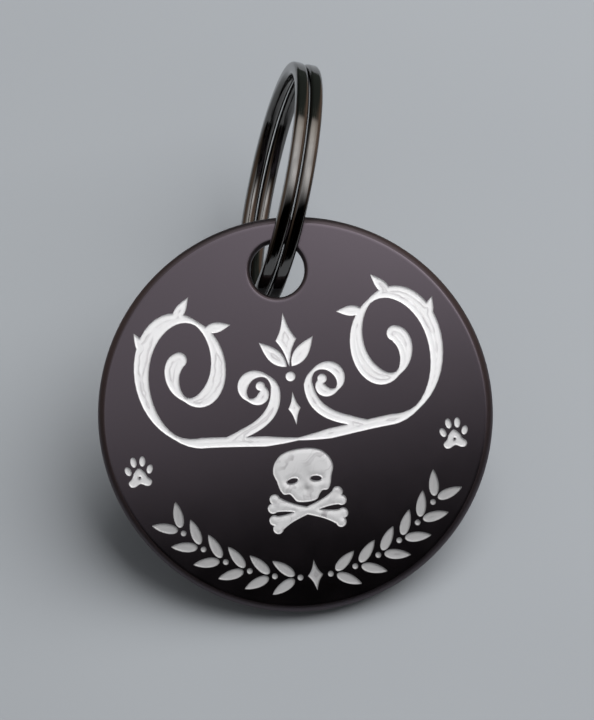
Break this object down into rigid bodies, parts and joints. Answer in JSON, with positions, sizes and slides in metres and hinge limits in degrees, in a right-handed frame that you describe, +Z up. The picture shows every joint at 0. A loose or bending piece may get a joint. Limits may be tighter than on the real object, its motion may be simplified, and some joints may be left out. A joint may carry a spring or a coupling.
{
  "type": "pet id tag",
  "caption": "Round black anodised metal tag with bright engraved marks, hanging by its hole on a black split ring that clips to a pet's collar.",
  "frame": {"origin": "highest point inside the split ring, where a collar's own ring bears", "axes": "+Z up, along the tag's upright from its centre to its hole; the engraved face looks towards -Y and +X is to the right of it"},
  "size_m": [0.032, 0.021, 0.0447],
  "materials": {
    "black_anodised": "satin black anodised, with marks cut through to bright metal",
    "black_nickel": "polished black nickel on spring steel wire"
  },
  "bodies": {
    "ring": {"split_ring": "black_nickel"},
    "tag": {"tag_disc": "black_anodised"}
  },
  "joints": [
    {"name": "tag_swing", "type": "hinge", "parent": "ring", "child": "tag", "pos_m": [-0.00378, -0.00739, -0.01569], "axis": [0, 1, 0], "range_deg": [-68, 107]}
  ]
}
